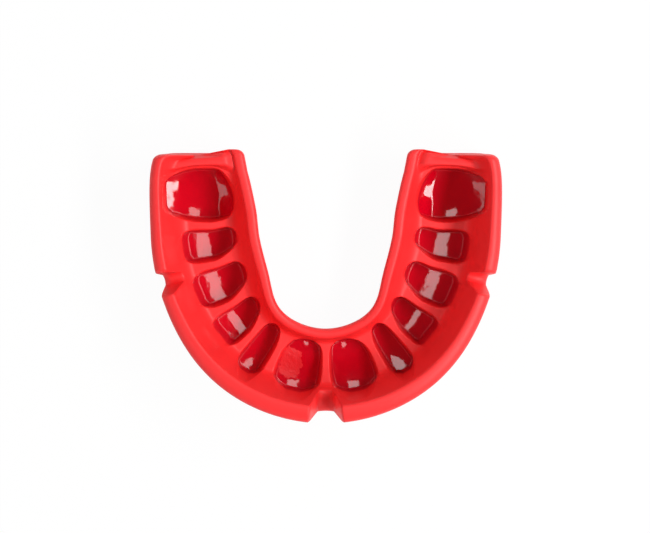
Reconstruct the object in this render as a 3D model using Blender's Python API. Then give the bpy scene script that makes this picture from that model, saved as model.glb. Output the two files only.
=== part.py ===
"""Sports mouthguard for the upper teeth, moulded in one piece.

It lies on its flat biting face with the tooth channel open upwards. X runs across
the mouth, the front teeth point to -Y and Z is up. All lengths are in metres.
The body is one loft: a channel section is carried along the dental arch, and the
tooth wells, the webs between them and the rear walls are heights of that section.
Three notches are then cut into the outer flange.
"""

import math
from typing import NamedTuple

import bmesh
import bpy
import numpy as np


class Tooth(NamedTuple):
    """The share of the tooth line that one tooth takes up, and the form of its well."""

    pitch: float
    lingual_narrowing: float
    labial_narrowing: float
    lingual_shift: float
    lingual_foot: float
    floor_radius: float


class Notch(NamedTuple):
    """A notch for a lip or cheek fold: its place on the tooth line and its widths."""

    station: float
    top_width: float
    floor_width: float


# Plan of the arch: half ellipses about one centre, with straight legs behind it.
LINGUAL_HALF_WIDTH = 0.0130
LABIAL_HALF_WIDTH = 0.0325
LINGUAL_FRONT_REACH = 0.0181
LABIAL_FRONT_REACH = 0.0346
LINGUAL_SQUARING = 0.0013
LABIAL_SQUARING = 0.0005

# Teeth from the midline to the back: pitch, narrowing of the well's two ends, how far back its
# inner end lies, run of the inner flange's slope beside it, and curve of its floor.
CENTRAL_INCISOR = Tooth(0.0100, 0.22, 0.20, 0.0000, 0.0007, 0.0120)
LATERAL_INCISOR = Tooth(0.0059, 0.30, 0.15, 0.0003, 0.0009, 0.0036)
CANINE = Tooth(0.0080, 0.30, 0.08, 0.0011, 0.0016, 0.0120)
FIRST_PREMOLAR = Tooth(0.0081, 0.30, 0.24, 0.0011, 0.0024, 0.0190)
SECOND_PREMOLAR = Tooth(0.0084, 0.36, 0.06, 0.0011, 0.0026, 0.0200)
FIRST_MOLAR = Tooth(0.0106, 0.20, 0.15, 0.0004, 0.0019, 0.0278)
TEETH = (CENTRAL_INCISOR, LATERAL_INCISOR, CANINE, FIRST_PREMOLAR, SECOND_PREMOLAR, FIRST_MOLAR)
REAR_WALL = 0.0021

# Heights above the flat biting face.
LABIAL_TOP_FRONT = 0.0200
LABIAL_TOP_BACK = 0.0165
LINGUAL_TOP_FRONT = 0.0105
LINGUAL_TOP_BACK = 0.0125
WEB_TOP = 0.0070
WELL_FLOOR = 0.0036
REAR_WALL_TOP = 0.0125
MOLAR_REAR_EDGE = 0.0102

# Walls of the channel section.
LABIAL_RIM_WIDTH_FRONT = 0.0034
LABIAL_RIM_WIDTH_BACK = 0.0020
LINGUAL_RIM_WIDTH_FRONT = 0.0018
LINGUAL_RIM_WIDTH_BACK = 0.0022
RIDGE_RADIUS = 0.0005
SHOULDER_DROP = 0.0017
LINGUAL_ROUND = 0.0011
RIM_FLATNESS = 0.8
LABIAL_DRAFT = 0.0016
LINGUAL_DRAFT = 0.0008
BASE_RADIUS = 0.0014
LABIAL_FOOT_FRONT = 0.0021
LABIAL_FOOT_BACK = 0.0031
LABIAL_FACE_BEND = 0.30

# Wells and webs.
WEB_WAIST = 0.0016
WELL_WALL_RUN = 0.0008
WELL_CORNER = 0.0009
NARROWING_POWER = 2.4
LINGUAL_WALL_SLOPE = math.tan(math.radians(76))
LABIAL_WALL_SLOPE = math.tan(math.radians(70))
LINGUAL_WALL_RUN = 0.0008
LABIAL_WALL_RUN = 0.0013
LINGUAL_FILLET = 0.0020
LABIAL_FILLET = 0.0036
INCISOR_FILLET = 0.0020
INCISOR_DROP = 0.0015
INCISOR_LEDGE = -0.90
INCISOR_LEVEL = 0.96
MOLAR_SIDE_GAP = 0.0003
MOLAR_WALL_SLOPE = math.tan(math.radians(80))
MOLAR_STRIP = 0.0036
MOLAR_STRIP_SHIFT = 0.0013
MOLAR_STRIP_RADIUS = 0.0210
MOLAR_FACET_SLOPE = math.tan(math.radians(15))
MOLAR_FACET_RADIUS = 0.0170
MOLAR_LOW_LINE = -0.0032

# Notches for the lip and cheek folds.
FRONT_NOTCH = Notch(0.0, 0.0067, 0.0034)
RIGHT_NOTCH = Notch(0.0316, 0.0046, 0.0020)
LEFT_NOTCH = Notch(-0.0316, 0.0046, 0.0020)
NOTCH_FLOOR = 0.0086
NOTCH_HOLLOW = 0.0007
NOTCH_FALL = 0.0012

# Rear ends of the two legs, and how far the rear face leans back at shares across it.
END_TAPER_LENGTH = 0.0115
LINGUAL_END_TAPER = 0.0024
LABIAL_END_TAPER = 0.0011
END_RADIUS = 0.0010
END_LEAN_PLACES = (0.0, 0.13, 0.27, 0.81, 0.90, 1.0)
END_LEANS = (0.0012, 0.0012, -0.0001, -0.0016, 0.0004, 0.0005)

# Colour of the moulded rubber.
RUBBER_COLOUR = (0.90, 0.035, 0.035, 1.0)
RUBBER_ROUGHNESS = 0.45

# How finely the section and the wells are divided.
WELL_STEPS = (-1.0, -0.8, -0.5, -0.17, 0.17, 0.5, 0.8, 1.0)
REAR_STEPS = (0.35, 0.65, 1.0)
CORNER_STEPS = (0.0, 45.0, 90.0)
RIM_STEPS = (-89.9, -60.0, -30.0, 0.0, 30.0, 60.0, 89.9)
WALL_STEPS = (0.33, 0.66)
SHOULDER_STEPS = (22.0, 45.0, 68.0, 90.0)
SLOPE_STEPS = (0.2, 0.4, 0.6, 0.8, 1.0)
FLOOR_STEPS = (0.0, 0.2, 0.4, 0.6, 0.8, 1.0)


def clear_scene():
    for thing in list(bpy.data.objects):
        bpy.data.objects.remove(thing, do_unlink=True)


def mix(start, end, share):
    return start + (end - start) * share


def ease(share):
    """Goes smoothly from 0 to 1 while share does."""
    share = np.clip(share, 0.0, 1.0)
    return share * share * (3.0 - 2.0 * share)


def smooth_max(first, second, fillet):
    """The larger height, with the corner between the two filled by a fillet."""
    near = np.maximum(fillet - np.abs(first - second), 0.0) / fillet
    return np.maximum(first, second) + near**2 * fillet / 4


class ToothLine:
    """The middle line of the channel, measured from the midline of the mouth."""

    def __init__(self):
        angles = np.linspace(0.0, math.pi / 2, 721)
        across = (LINGUAL_HALF_WIDTH + LABIAL_HALF_WIDTH) / 2
        along = (LINGUAL_FRONT_REACH + LABIAL_FRONT_REACH) / 2
        speed = np.hypot(across * np.cos(angles), along * np.sin(angles))
        steps = (speed[1:] + speed[:-1]) / 2 * np.diff(angles)
        self.angles = angles
        self.lengths = np.concatenate(([0.0], np.cumsum(steps)))
        self.curved = float(self.lengths[-1])
        self.end = sum(tooth.pitch for tooth in TEETH) + REAR_WALL

    def squaring(self, station):
        """A wave that squares the arch off beside the incisors and pulls in its sides."""
        first = self.curved * 0.26
        last = self.curved * 0.74
        rising = np.sin(np.minimum(station / first, 1.0) * math.pi / 2)
        falling = np.cos(np.clip((station - first) / (last - first), 0.0, 1.0) * math.pi)
        back = ease((station - last) / (last - first)) - 1.0
        return np.where(station < first, rising, np.where(station < last, falling, back))


LINE = ToothLine()


def plan(across, station):
    """Plan of the right half: across is 0 on the lingual rim line and 1 on the labial one."""
    angle = np.interp(station, LINE.lengths, LINE.angles)
    leg = np.maximum(station - LINE.curved, 0.0)
    half_width = mix(LINGUAL_HALF_WIDTH, LABIAL_HALF_WIDTH, across)
    reach = mix(LINGUAL_FRONT_REACH, LABIAL_FRONT_REACH, across)
    half_width = half_width + mix(LINGUAL_SQUARING, LABIAL_SQUARING, across) * LINE.squaring(station)
    taper = np.maximum(0.0, (station - LINE.end + END_TAPER_LENGTH) / END_TAPER_LENGTH)
    half_width = half_width + LINGUAL_END_TAPER * (1.0 - across) * taper**1.6
    half_width = half_width - LABIAL_END_TAPER * across * taper**6
    return half_width * np.sin(angle), leg - reach * np.cos(angle)


def tooth_start(index):
    """Station at which a tooth's share of the tooth line begins."""
    return sum(tooth.pitch for tooth in TEETH[:index])


class Sizes:
    """Widths and heights of the section at a station."""

    def __init__(self, station):
        inner = plan(0.0, station)
        outer = plan(1.0, station)
        back = ease(station / LINE.end)
        middles = [tooth_start(index) + tooth.pitch / 2 for index, tooth in enumerate(TEETH)]
        feet = [tooth.lingual_foot for tooth in TEETH]
        self.wide = float(np.hypot(outer[0] - inner[0], outer[1] - inner[1]))
        self.inner_top = mix(LINGUAL_TOP_FRONT, LINGUAL_TOP_BACK, back)
        self.inner_rim = mix(LINGUAL_RIM_WIDTH_FRONT, LINGUAL_RIM_WIDTH_BACK, back)
        self.inner_foot = float(np.interp(station, middles, feet))
        self.inner_line = self.inner_rim + self.inner_foot
        self.outer_top = mix(LABIAL_TOP_FRONT, LABIAL_TOP_BACK, back)
        self.outer_rim = mix(LABIAL_RIM_WIDTH_FRONT, LABIAL_RIM_WIDTH_BACK, back)
        self.outer_foot = mix(LABIAL_FOOT_FRONT, LABIAL_FOOT_BACK, back)
        self.outer_line = self.wide - self.outer_rim - self.outer_foot
        self.inner_edge = self.inner_top - LINGUAL_ROUND
        self.inner_slope = (self.inner_edge - WEB_TOP) / self.inner_foot
        self.face_top = self.outer_top - RIDGE_RADIUS
        self.half_across = (self.outer_line - self.inner_line) / 2
        self.middle = (self.outer_line + self.inner_line) / 2


class EdgeLine:
    """A line across the channel: the midline, the rear face or one end of a well."""

    def __init__(self, tooth, middle, half):
        self.tooth = tooth
        self.middle = middle
        self.half = half

    def station(self, across):
        """Stations at shares across the channel, from -1 at its inner side to 1."""
        narrowing = np.where(across < 0.0, self.tooth.lingual_narrowing, self.tooth.labial_narrowing)
        reach = np.minimum(np.abs(across), 1.2)
        shift = self.tooth.lingual_shift * ease(-across / 1.2) if self.half else 0.0
        return self.middle + self.half * (1.0 - narrowing * reach**NARROWING_POWER) + shift


class Row:
    """One cross section of the loft, which lies between two edge lines."""

    def __init__(self, low, high, part, well=False, along=0.0, rise=0.0, back=0.0, shrink=0.0):
        self.low = low
        self.high = high
        self.part = part
        self.well = well
        self.along = along
        self.rise = rise
        self.back = back
        self.shrink = shrink
        self.tooth = high.tooth
        self.half = high.half

    def station(self, across):
        return mix(self.low.station(across), self.high.station(across), self.part)


def well_ends(index):
    """The two edge lines of a well."""
    start = tooth_start(index) + WEB_WAIST / 2
    margin = WEB_WAIST / 2 if index + 1 < len(TEETH) else 0.0
    end = tooth_start(index + 1) - margin
    middle = (start + end) / 2
    half = (end - start) / 2
    return EdgeLine(TEETH[index], middle, -half), EdgeLine(TEETH[index], middle, half)


def rows_of_well(index):
    """The two end walls of a well and the rows between them."""
    low, high = well_ends(index)
    foot = 1.0 - WELL_WALL_RUN / high.half
    rows = []
    for along in (-1.0, *(foot * step for step in WELL_STEPS), 1.0):
        part = (along + 1.0) / 2
        rise = ease(part) if high.tooth is FIRST_MOLAR else 0.0
        rows.append(Row(low, high, part, abs(along) < 1.0, along, rise))
    return rows


def rows_of_half():
    """The rows from the midline web to the rear face of one leg."""
    midline = EdgeLine(CENTRAL_INCISOR, 0.0, 0.0)
    rows = [Row(midline, midline, 0.0)]
    for index in range(len(TEETH)):
        if index:
            rows.append(Row(well_ends(index - 1)[1], well_ends(index)[0], 0.5))
        rows += rows_of_well(index)
    rear = EdgeLine(FIRST_MOLAR, LINE.end - END_RADIUS, 0.0)
    for part in REAR_STEPS:
        rise = 1.0 + ease(part * 1.6)
        rows.append(Row(well_ends(len(TEETH) - 1)[1], rear, part, rise=rise, back=part))
    for turn in CORNER_STEPS[1:]:
        line = EdgeLine(FIRST_MOLAR, rear.middle + END_RADIUS * math.sin(math.radians(turn)), 0.0)
        shrink = 1.0 - math.cos(math.radians(turn))
        rows.append(Row(line, line, 0.0, rise=2.0, back=1.0, shrink=shrink))
    return rows


def channel_offsets(size):
    """Columns across the channel, close together on the two walls of the wells."""
    first = size.inner_line + LINGUAL_WALL_RUN
    last = size.outer_line - LABIAL_WALL_RUN
    offsets = [mix(size.inner_rim, size.inner_line, 0.5), size.inner_line, mix(size.inner_line, first, 0.5)]
    offsets += [mix(first, last, step) for step in FLOOR_STEPS]
    offsets += [mix(last, size.outer_line, 0.5), size.outer_line]
    offsets += [size.outer_line + size.outer_foot * step for step in SLOPE_STEPS]
    return np.array(offsets)


def land_height(row, size, offset):
    """The channel without its wells: webs and rear wall, filleted into both flanges."""
    top = mix(WEB_TOP, MOLAR_REAR_EDGE, min(row.rise, 1.0))
    top = mix(top, REAR_WALL_TOP, max(row.rise - 1.0, 0.0))
    beside_rim = 1.0 - ease((offset - size.inner_rim) / size.inner_foot)
    land = top - max(top - size.inner_edge, 0.0) * beside_rim
    inner = WEB_TOP + (size.inner_line - offset) * size.inner_slope
    climb = (offset - size.outer_line) / size.outer_foot
    bent = (1.0 - LABIAL_FACE_BEND) * climb + LABIAL_FACE_BEND * np.maximum(climb, 0.0) ** 2
    outer = WEB_TOP + (size.face_top - WEB_TOP) * bent
    return smooth_max(smooth_max(land, inner, LINGUAL_FILLET), outer, LABIAL_FILLET)


def incisor_floor(row, size, offset):
    """A floor that falls from a ledge at its inner end to a level part at its outer end."""
    across = (offset - size.middle) / size.half_across
    share = np.clip((across - INCISOR_LEDGE) / (INCISOR_LEVEL - INCISOR_LEDGE), 0.0, 1.0)
    fallen = np.where(share < 0.5, 2.0 * share**2, 1.0 - 2.0 * (1.0 - share) ** 2)
    hollow = (row.along * row.half) ** 2 / (2 * row.tooth.floor_radius)
    return WELL_FLOOR + INCISOR_DROP * (1.0 - fallen) + hollow


def trough_floor(row, size, offset):
    """A floor that is straight along the arch and hollow across it."""
    return WELL_FLOOR + (offset - size.middle) ** 2 / (2 * row.tooth.floor_radius)


def molar_floor(row, size, offset):
    """A dish with a nearly level strip in its middle and steeper facets beside it."""
    aside = np.abs(offset - size.middle - MOLAR_STRIP_SHIFT)
    beside = np.maximum(aside - MOLAR_STRIP, 0.0)
    strip = np.minimum(aside, MOLAR_STRIP) ** 2 / (2 * MOLAR_STRIP_RADIUS)
    facet = MOLAR_FACET_SLOPE * beside + beside**2 / (2 * MOLAR_FACET_RADIUS)
    hollow = (row.along * row.half - MOLAR_LOW_LINE) ** 2 / (2 * row.tooth.floor_radius)
    return WELL_FLOOR + strip + facet + hollow


def well_height(row, size, offset, land):
    """Floor of the row's well and the walls at its two sides, rounded in plan."""
    molar = row.tooth is FIRST_MOLAR
    corner = math.sqrt(1.0 - row.along**4)
    near = size.inner_line + WELL_CORNER * (1.0 - corner)
    far = size.outer_line - WELL_CORNER * (1.0 - corner)
    if molar:
        far += (size.outer_foot - MOLAR_SIDE_GAP) * math.sqrt(1.0 - row.along**2)
    inner_wall = np.interp(near, offset, land) + (near - offset) * LINGUAL_WALL_SLOPE
    inner_wall = np.where(offset < near, land, inner_wall)
    slope = MOLAR_WALL_SLOPE if molar else LABIAL_WALL_SLOPE
    outer_wall = np.interp(far, offset, land) + (offset - far) * slope
    outer_wall = np.where(offset > far, land, outer_wall)
    if molar:
        floor = molar_floor(row, size, offset)
    elif row.tooth in (CENTRAL_INCISOR, LATERAL_INCISOR):
        floor = smooth_max(incisor_floor(row, size, offset), outer_wall, INCISOR_FILLET)
    else:
        floor = trough_floor(row, size, offset)
    return np.maximum(np.maximum(floor, outer_wall), inner_wall)


def inner_side(size):
    """Base corner, wall and rim of the inner flange, as offsets and heights."""
    points = []
    for turn in np.radians(CORNER_STEPS):
        offset = LINGUAL_DRAFT + BASE_RADIUS * (1.0 - math.sin(turn))
        points.append((offset, BASE_RADIUS * (1.0 - math.cos(turn))))
    for climb in WALL_STEPS:
        points.append((LINGUAL_DRAFT * (1.0 - climb) ** 1.3, mix(BASE_RADIUS, size.inner_edge, climb)))
    for turn in np.radians(RIM_STEPS):
        sideways = math.copysign(abs(math.sin(turn)) ** RIM_FLATNESS, turn)
        upwards = math.cos(turn) ** RIM_FLATNESS
        points.append((size.inner_rim / 2 * (1.0 + sideways), size.inner_edge + LINGUAL_ROUND * upwards))
    return points


def outer_side(size):
    """Ridge, shoulder, wall and base corner of the outer flange, as offsets and heights."""
    crest = size.wide - size.outer_rim
    wall_top = size.outer_top - SHOULDER_DROP
    corner = RIDGE_RADIUS * math.sin(math.radians(45))
    points = [(crest + RIDGE_RADIUS - corner, size.face_top + corner), (crest + RIDGE_RADIUS, size.outer_top)]
    for turn in np.radians(SHOULDER_STEPS):
        reach = (size.outer_rim - RIDGE_RADIUS) * math.sin(turn)
        points.append((crest + RIDGE_RADIUS + reach, mix(size.outer_top, wall_top, 1.0 - math.cos(turn))))
    for fall in WALL_STEPS:
        points.append((size.wide - LABIAL_DRAFT * fall**1.4, mix(wall_top, BASE_RADIUS, fall)))
    for turn in np.radians(CORNER_STEPS):
        offset = size.wide - LABIAL_DRAFT - BASE_RADIUS * (1.0 - math.cos(turn))
        points.append((offset, BASE_RADIUS * (1.0 - math.sin(turn))))
    return points


def row_points(row):
    """Points of a row in space, leaned back and drawn in at the rear face."""
    station = float(row.station(1.0))
    size = Sizes(station)
    offset = channel_offsets(size)
    height = land_height(row, size, offset)
    if row.well:
        height = np.minimum(height, well_height(row, size, offset, height))
    channel_stations = row.station((offset - size.middle) / size.half_across)
    inner = np.array(inner_side(size))
    outer = np.array(outer_side(size))
    offset = np.concatenate([inner[:, 0], offset, outer[:, 0]])
    height = np.concatenate([inner[:, 1], height, outer[:, 1]])
    stations = np.concatenate([np.full(len(inner), station), channel_stations, np.full(len(outer), station)])
    across = offset / size.wide
    lean = np.interp(across, END_LEAN_PLACES, END_LEANS) * row.back * height / REAR_WALL_TOP
    draw_in = 2.0 * END_RADIUS * row.shrink
    tall = height.max()
    across = 0.5 + (across - 0.5) * (1.0 - draw_in / size.wide)
    height = tall / 2 + (height - tall / 2) * (1.0 - draw_in / tall)
    x, y = plan(across, stations)
    return np.stack([x, y + lean, height], axis=-1)


def loft_tray(name):
    """Bridges the rows of both halves and closes the two rear faces."""
    half = [row_points(row) for row in rows_of_half()]
    rings = [points * (-1.0, 1.0, 1.0) for points in reversed(half[1:])] + half
    build = bmesh.new()
    rings = [[build.verts.new(point) for point in ring] for ring in rings]
    count = len(rings[0])
    for near, far in zip(rings, rings[1:]):
        for index in range(count):
            following = (index + 1) % count
            build.faces.new((near[index], near[following], far[following], far[index]))
    for ring in (rings[0], rings[-1]):
        middle = build.verts.new(sum((vert.co for vert in ring), ring[0].co * 0.0) / count)
        for index in range(count):
            build.faces.new((ring[index], ring[(index + 1) % count], middle))
    bmesh.ops.recalc_face_normals(build, faces=build.faces)
    return new_object(name, build)


def new_object(name, build):
    mesh = bpy.data.meshes.new(name)
    build.to_mesh(mesh)
    build.free()
    thing = bpy.data.objects.new(name, mesh)
    bpy.context.collection.objects.link(thing)
    return thing


def notch_outline(notch, rim):
    """Outline of a notch seen along its cut: a hollow floor between sloping sides."""
    floor = notch.floor_width / 2
    above = rim + RIDGE_RADIUS
    outline = [(-notch.top_width / 2, above)]
    for share in (-1.0, -0.5, 0.0, 0.5, 1.0):
        outline.append((floor * share, NOTCH_FLOOR + NOTCH_HOLLOW * share**2))
    outline.append((notch.top_width / 2, above))
    return outline


def notch_cutter(name, notch):
    """A wedge laid across the outer flange, whose floor falls towards the lip."""
    station = abs(notch.station)
    side = math.copysign(1.0, notch.station)
    start = plan(0.50, station)
    end = plan(1.15, station)
    length = math.hypot(end[0] - start[0], end[1] - start[1])
    out = ((end[0] - start[0]) / length, (end[1] - start[1]) / length)
    outline = notch_outline(notch, Sizes(station).outer_top)
    build = bmesh.new()
    rings = []
    for place, fall in ((start, NOTCH_FALL), (end, -NOTCH_FALL)):
        ring = []
        for aside, height in outline:
            x = side * (place[0] - out[1] * aside)
            ring.append(build.verts.new((x, place[1] + out[0] * aside, height + fall)))
        rings.append(ring)
    count = len(rings[0])
    for index in range(count):
        following = (index + 1) % count
        build.faces.new((rings[0][index], rings[0][following], rings[1][following], rings[1][index]))
    build.faces.new(rings[0])
    build.faces.new(rings[1])
    bmesh.ops.recalc_face_normals(build, faces=build.faces)
    cutter = new_object(name, build)
    cutter.hide_render = True
    cutter.display_type = "WIRE"
    return cutter


def cut(body, cutter):
    modifier = body.modifiers.new(cutter.name, "BOOLEAN")
    modifier.operation = "DIFFERENCE"
    modifier.solver = "EXACT"
    modifier.object = cutter


def middle_depth(body):
    """Middle of the body from front to back, after its cuts."""
    finished = body.evaluated_get(bpy.context.evaluated_depsgraph_get())
    depths = [vert.co.y for vert in finished.data.vertices]
    return (min(depths) + max(depths)) / 2


def rubber():
    material = bpy.data.materials.new("moulded_rubber")
    material.use_nodes = True
    shader = material.node_tree.nodes["Principled BSDF"]
    shader.inputs["Base Color"].default_value = RUBBER_COLOUR
    shader.inputs["Roughness"].default_value = RUBBER_ROUGHNESS
    shader.inputs["Metallic"].default_value = 0.0
    return material


def main():
    clear_scene()
    guard = loft_tray("mouthguard")
    guard.data.shade_smooth()
    guard.data.set_sharp_from_angle(angle=math.radians(35))
    guard.data.materials.append(rubber())
    cutters = [
        notch_cutter("front_notch", FRONT_NOTCH),
        notch_cutter("left_notch", LEFT_NOTCH),
        notch_cutter("right_notch", RIGHT_NOTCH),
    ]
    for cutter in cutters:
        cut(guard, cutter)
    middle = middle_depth(guard)
    for thing in (guard, *cutters):
        thing.location.y = -middle


main()
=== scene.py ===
"""Dresses the packed mouthguard: one finely moulded tray on a white photo table."""
import math

import bpy
import numpy as np
from mathutils import Euler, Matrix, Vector


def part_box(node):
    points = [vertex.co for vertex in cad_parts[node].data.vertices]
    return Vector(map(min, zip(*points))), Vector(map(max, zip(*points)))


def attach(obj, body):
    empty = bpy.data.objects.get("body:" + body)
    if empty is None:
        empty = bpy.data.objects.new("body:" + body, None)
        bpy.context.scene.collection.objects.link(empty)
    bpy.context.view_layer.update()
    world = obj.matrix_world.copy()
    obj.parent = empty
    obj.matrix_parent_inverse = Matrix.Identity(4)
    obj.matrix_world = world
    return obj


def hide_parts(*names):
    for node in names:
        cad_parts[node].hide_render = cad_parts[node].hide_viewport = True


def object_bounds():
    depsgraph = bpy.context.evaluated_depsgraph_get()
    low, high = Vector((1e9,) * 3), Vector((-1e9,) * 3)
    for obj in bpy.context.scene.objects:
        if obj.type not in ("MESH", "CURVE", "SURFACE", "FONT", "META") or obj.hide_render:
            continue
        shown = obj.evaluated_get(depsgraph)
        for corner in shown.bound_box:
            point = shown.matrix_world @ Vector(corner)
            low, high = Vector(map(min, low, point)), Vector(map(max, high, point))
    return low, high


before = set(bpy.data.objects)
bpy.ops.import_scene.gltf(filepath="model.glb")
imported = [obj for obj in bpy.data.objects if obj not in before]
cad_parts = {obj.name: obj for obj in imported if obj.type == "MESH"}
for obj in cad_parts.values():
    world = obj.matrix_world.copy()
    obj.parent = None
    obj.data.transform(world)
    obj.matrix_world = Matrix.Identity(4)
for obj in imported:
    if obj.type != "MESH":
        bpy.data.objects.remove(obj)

bl_info = {
    "name": "Moulded mouthguard",
    "version": (1, 0, 0),
    "blender": (4, 5, 0),
    "location": "3D View > Sidebar > Mouthguard",
    "description": "Moulds a sports mouthguard tray and sets it on a photo table",
    "category": "Add Mesh",
}

NODE = "mouthguard"
BODY = "root"
CAD_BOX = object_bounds()


def length(name, description, default):
    """A property that holds a length in metres."""
    return bpy.props.FloatProperty(
        name=name, description=description, default=default, unit="LENGTH", precision=5
    )


def share(name, description, default):
    """A property that holds a plain number."""
    return bpy.props.FloatProperty(name=name, description=description, default=default, precision=3)


def lengths(name, description, default):
    """A property that holds several lengths in metres."""
    return bpy.props.FloatVectorProperty(
        name=name, description=description, default=default, size=len(default), unit="LENGTH", precision=5
    )


def shares(name, description, default):
    """A property that holds several plain numbers."""
    return bpy.props.FloatVectorProperty(
        name=name, description=description, default=default, size=len(default), precision=3
    )


def paint(name, description, default):
    """A property that holds an sRGB colour as a hex string."""
    return bpy.props.StringProperty(name=name, description=description, default=default)


class ArchSizes(bpy.types.PropertyGroup):
    """Plan of the arch: half ellipses about one centre, with straight legs behind it."""

    lingual_half_width: length("Lingual half width", "Midline to the inner rim line", 0.0130)
    labial_half_width: length("Labial half width", "Midline to the outer rim line", 0.0325)
    lingual_front_reach: length("Lingual reach", "Arch centre to the inner rim in front", 0.0181)
    labial_front_reach: length("Labial reach", "Arch centre to the outer rim in front", 0.0346)
    lingual_squaring: length("Lingual squaring", "How far the inner curve squares off", 0.0013)
    labial_squaring: length("Labial squaring", "How far the outer curve squares off", 0.0005)
    pitches: lengths(
        "Well pitches",
        "Length of each tooth's place along the tooth line, from the midline back",
        (0.0098, 0.0063, 0.0078, 0.0084, 0.0074, 0.0113),
    )
    rear_wall: length("Rear wall", "Thickness of the wall behind the molar", 0.0021)
    end_taper_length: length("End taper length", "Stretch in which the legs narrow", 0.0115)
    lingual_end_taper: length("Lingual end taper", "How far the inner side draws in", 0.0024)
    labial_end_taper: length("Labial end taper", "How far the outer side draws in", 0.0011)
    end_radius: length("End radius", "Rounding of the rear face", 0.0010)
    end_lean_places: shares(
        "Lean places",
        "Shares across the leg at which the rear face's lean is given",
        (0.0, 0.13, 0.27, 0.81, 0.90, 1.0),
    )
    end_leans: lengths(
        "End leans",
        "How far the rear face leans back at those places",
        (0.0012, 0.0012, -0.0001, -0.0008, 0.0002, 0.0003),
    )


class FlangeSizes(bpy.types.PropertyGroup):
    """The two flanges and the notches in the outer one."""

    labial_top_front: length("Outer height in front", "Outer rim above the biting face", 0.0200)
    labial_top_back: length("Outer height behind", "Outer rim above the biting face", 0.0165)
    lingual_top_front: length("Inner height in front", "Inner rim above the biting face", 0.0105)
    lingual_top_back: length("Inner height behind", "Inner rim above the biting face", 0.0125)
    labial_rim_front: length("Outer rim width in front", "Width of the outer rim", 0.0034)
    labial_rim_back: length("Outer rim width behind", "Width of the outer rim", 0.0020)
    lingual_rim_front: length("Inner rim width in front", "Width of the inner rim", 0.0018)
    lingual_rim_back: length("Inner rim width behind", "Width of the inner rim", 0.0022)
    inner_rim_power: share("Inner rim power", "Flatness of the inner rim's arch in section", 0.8)
    ridge_radius: length("Ridge radius", "Rounding at the inner edge of the outer rim", 0.0005)
    shoulder: length("Outer shoulder", "Drop of the outer rim towards the lip", 0.0017)
    lingual_round: length("Inner rounding", "Drop of the inner rim at its edges", 0.0011)
    labial_draft: length("Outer draft", "How far the outer wall tucks in below", 0.0016)
    lingual_draft: length("Inner draft", "How far the inner wall tucks in below", 0.0008)
    inner_tuck_power: share("Inner tuck power", "How late the inner wall tucks in below", 1.3)
    outer_tuck_power: share("Outer tuck power", "How late the outer wall tucks in below", 1.4)
    base_radius: length("Base radius", "Rounding at the biting face", 0.0014)
    inner_feet: lengths(
        "Inner feet",
        "Run of the inner flange's slope beside each well",
        (0.0007, 0.0009, 0.0016, 0.0024, 0.0026, 0.0019),
    )
    foot_front: length("Flange foot in front", "Run of the outer flange's inner slope", 0.0021)
    foot_back: length("Flange foot behind", "Run of the outer flange's inner slope", 0.0031)
    face_bend: share("Face bend", "How much that slope steepens towards its rim", 0.30)
    front_notch: length("Front notch", "Width of the lip notch at the rim", 0.0067)
    front_notch_floor: length("Front notch floor", "Width of the lip notch at its floor", 0.0034)
    side_notch: length("Side notch", "Width of the cheek notches at the rim", 0.0046)
    side_notch_floor: length("Side notch floor", "Width of the cheek notches at their floor", 0.0020)
    side_notch_station: length("Side notch place", "Along the tooth line", 0.0316)
    notch_floor: length("Notch floor", "Notch floor above the biting face", 0.0090)
    notch_hollow: length("Notch hollow", "Rise of the notch floor towards its sides", 0.0007)
    notch_fall: length("Notch fall", "Fall of the notch floor towards the lip", 0.0014)


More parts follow.
